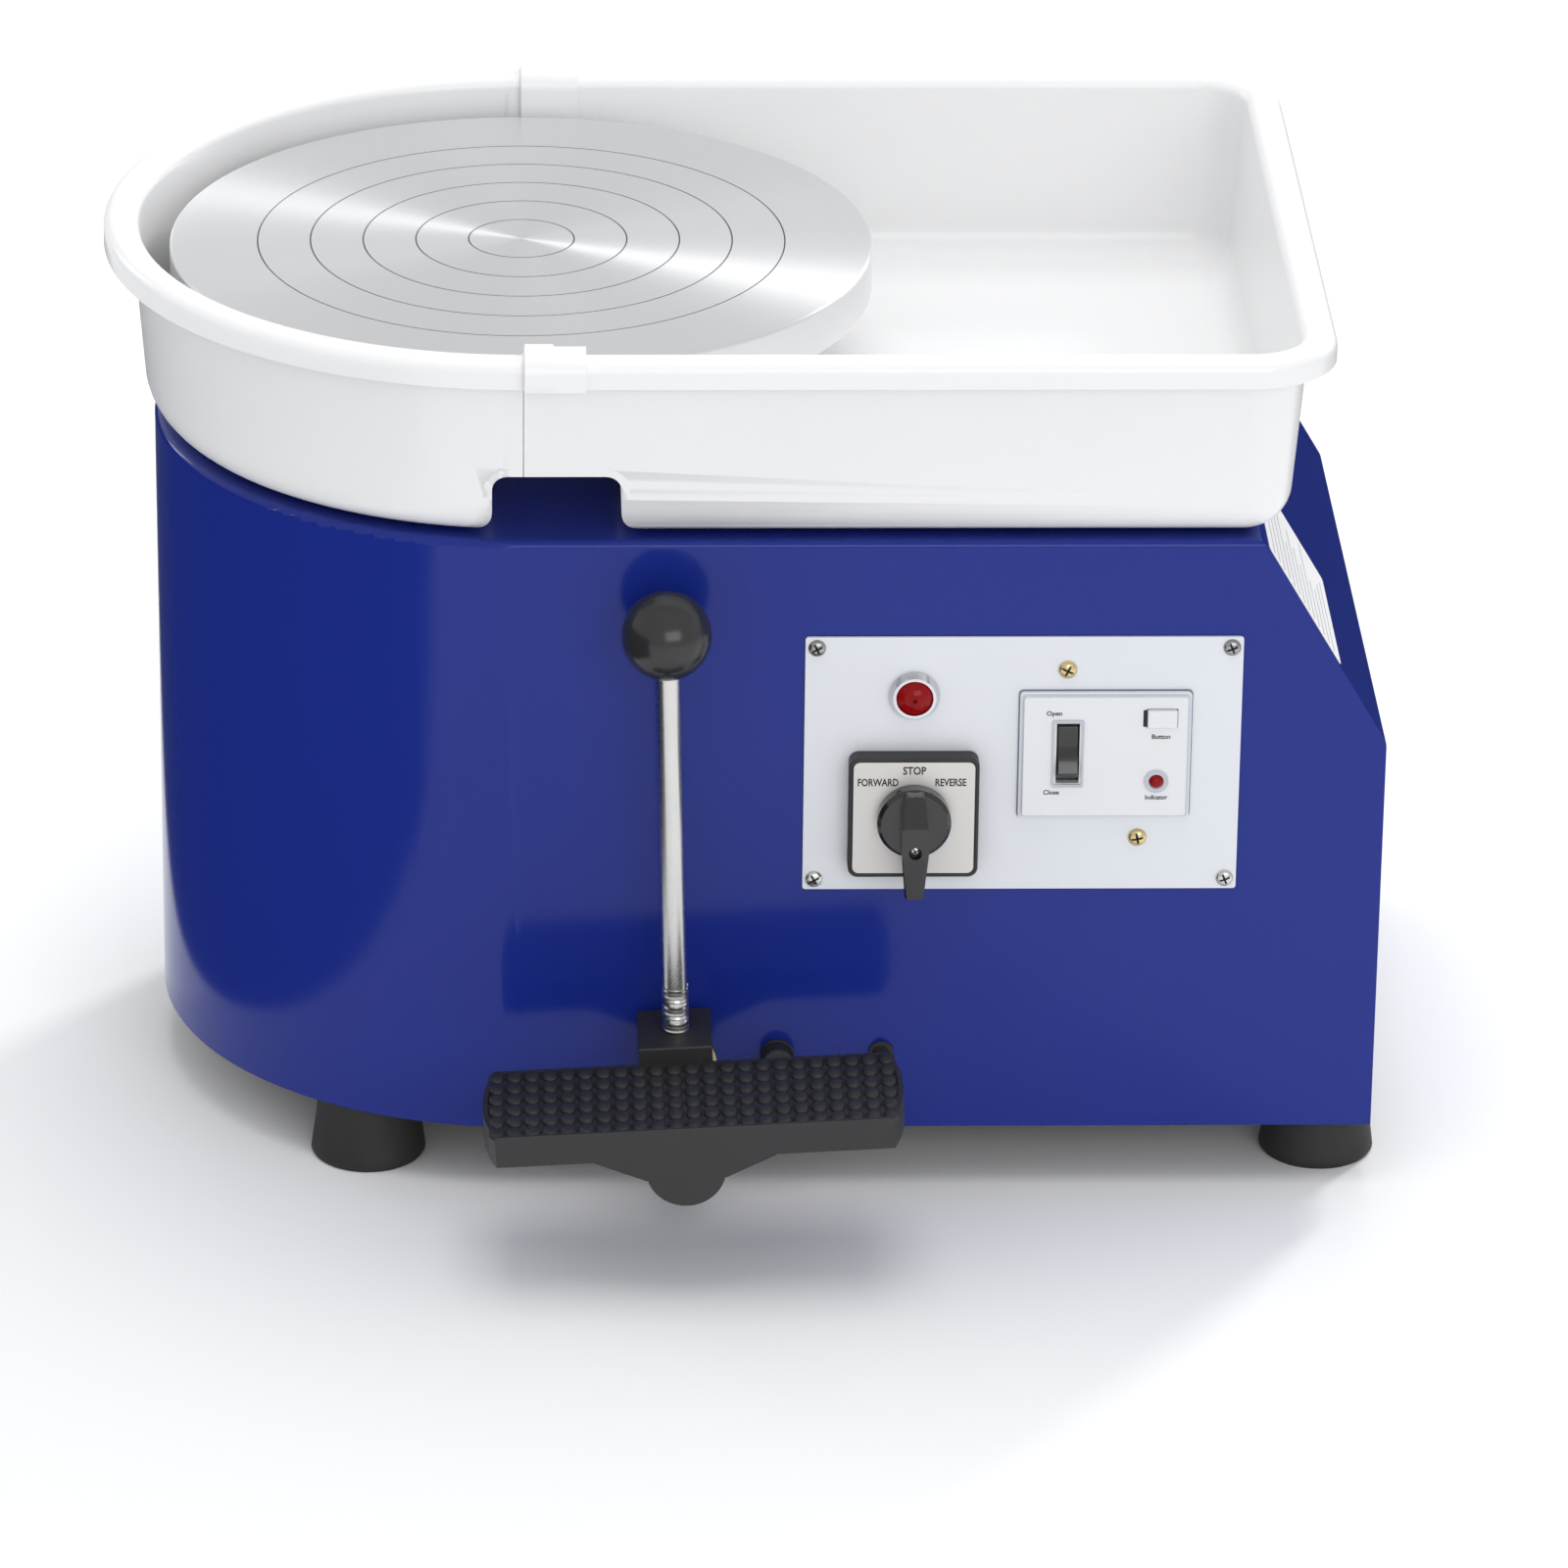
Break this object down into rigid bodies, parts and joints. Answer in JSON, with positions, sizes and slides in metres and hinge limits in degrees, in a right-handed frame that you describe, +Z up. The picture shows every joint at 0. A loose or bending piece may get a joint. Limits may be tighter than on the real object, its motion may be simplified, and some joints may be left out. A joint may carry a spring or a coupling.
{
  "type": "pottery wheel",
  "caption": "Table-top electric pottery wheel: turned wheel head in a two-piece splash tray on a blue steel body, with control panel, rocking speed pedal and hand lever.",
  "frame": {"origin": "centre of the whole machine's footprint, on the floor under the feet", "axes": "+Z up along the wheel's axis, +X from the round end towards the square end, +Y from the pedal towards the back"},
  "size_m": [0.509, 0.4127, 0.3647],
  "materials": {
    "blue_paint": "glossy",
    "dark_steel": "satin",
    "zinc_steel": "satin",
    "black_rubber": "matte",
    "cast_aluminium": "satin",
    "turned_aluminium": "turned",
    "panel_white": "satin",
    "panel_silver": "satin",
    "chrome": "polished",
    "red_lens": "glossy",
    "black_plastic": "satin",
    "black_knob": "glossy",
    "white_plastic": "glossy",
    "tray_white": "glossy",
    "yellow_brass": "satin",
    "nylon": "satin",
    "circuit_board": "satin",
    "copper_winding": "satin"
  },
  "bodies": {
    "housing": {"housing_shell": "blue_paint", "base_plate": "dark_steel", "base_screws": "zinc_steel", "rubber_feet": "black_rubber", "foot_bolts": "zinc_steel", "bearing_housing": "cast_aluminium", "bearing_housing_bolts": "zinc_steel", "upper_bearing": "zinc_steel", "lower_bearing": "zinc_steel", "drive_belt": "black_rubber", "motor_bracket": "zinc_steel", "motor_bracket_bolts": "zinc_steel", "motor_can": "dark_steel", "motor_magnets": "dark_steel", "motor_upper_cap": "cast_aluminium", "motor_lower_cap": "cast_aluminium", "motor_mount_screws": "zinc_steel", "motor_bearings": "zinc_steel", "control_panel": "panel_white", "control_panel_screws": "zinc_steel", "lamp_bezel": "chrome", "lamp_lens": "red_lens", "lamp_body": "black_plastic", "switch_frame": "black_plastic", "switch_face": "panel_silver", "switch_body": "black_plastic", "breaker_frame": "white_plastic", "breaker_body": "black_plastic", "breaker_indicator": "red_lens", "breaker_screws": "yellow_brass", "fuse_holder": "black_plastic", "cord_bush": "black_rubber", "pedal_bush": "yellow_brass", "speed_sensor": "zinc_steel", "motor_controller": "circuit_board"},
    "wheel": {"wheel_head": "turned_aluminium", "wheel_hub": "cast_aluminium", "hub_screws": "zinc_steel", "wheel_shaft": "zinc_steel", "driven_pulley": "cast_aluminium", "pulley_bolt": "zinc_steel", "shaft_retaining_ring": "dark_steel"},
    "motor_rotor": {"motor_shaft": "zinc_steel", "motor_armature": "copper_winding", "motor_pulley": "cast_aluminium"},
    "pedal": {"pedal_plate": "black_plastic", "pedal_block": "black_plastic", "pedal_shaft": "zinc_steel", "hand_lever_rod": "zinc_steel", "ball_knob": "black_knob", "speed_sector": "nylon"},
    "sensor_pinion": {"speed_sensor_pinion": "nylon"},
    "direction_knob": {"switch_knob": "black_knob", "switch_spindle": "zinc_steel"},
    "power_rocker": {"breaker_rocker": "black_knob"},
    "test_button": {"breaker_test_button": "white_plastic"},
    "fuse": {"fuse_cap": "black_plastic", "fuse_cartridge": "zinc_steel"},
    "round_tray": {"round_splash_tray": "tray_white"},
    "square_tray": {"square_splash_tray": "tray_white"}
  },
  "joints": [
    {"name": "wheel_spin", "type": "hinge", "parent": "housing", "child": "wheel", "pos_m": [-0.0885, 0.03715, 0.33], "axis": [0, 0, 1], "continuous": true},
    {"name": "motor_spin", "type": "hinge", "parent": "housing", "child": "motor_rotor", "pos_m": [0.1165, 0.03715, 0.16], "axis": [0, 0, 1], "continuous": true},
    {"name": "pedal_rock", "type": "hinge", "parent": "housing", "child": "pedal", "pos_m": [-0.0258, -0.10985, 0.057], "axis": [0, 1, 0], "range_deg": [-9, 15]},
    {"name": "sensor_turn", "type": "hinge", "parent": "housing", "child": "sensor_pinion", "pos_m": [-0.0258, -0.08085, 0.105], "axis": [0, 1, 0], "range_deg": [-45.5, 27.5]},
    {"name": "direction_turn", "type": "hinge", "parent": "housing", "child": "direction_knob", "pos_m": [0.0642, -0.11985, 0.1663], "axis": [0, 1, 0], "range_deg": [-45, 45]},
    {"name": "power_flip", "type": "hinge", "parent": "housing", "child": "power_rocker", "pos_m": [0.1242, -0.10805, 0.1897], "axis": [1, 0, 0], "range_deg": [0, 24]},
    {"name": "test_press", "type": "slide", "parent": "housing", "child": "test_button", "axis": [0, 1, 0], "range_m": [0, 0.0015], "stiffness_N_per_m": 300},
    {"name": "fuse_pull", "type": "slide", "parent": "housing", "child": "fuse", "axis": [0, -1, 0], "range_m": [0, 0.026]},
    {"name": "round_tray_pull", "type": "slide", "parent": "housing", "child": "round_tray", "axis": [-1, 0, 0], "range_m": [0, 0.2]},
    {"name": "square_tray_pull", "type": "slide", "parent": "housing", "child": "square_tray", "axis": [1, 0, 0], "range_m": [0, 0.345]}
  ],
  "couplings": [
    {"joint": "motor_spin", "follows": "wheel_spin", "ratio": 4},
    {"joint": "sensor_turn", "follows": "pedal_rock", "ratio": -3}
  ]
}
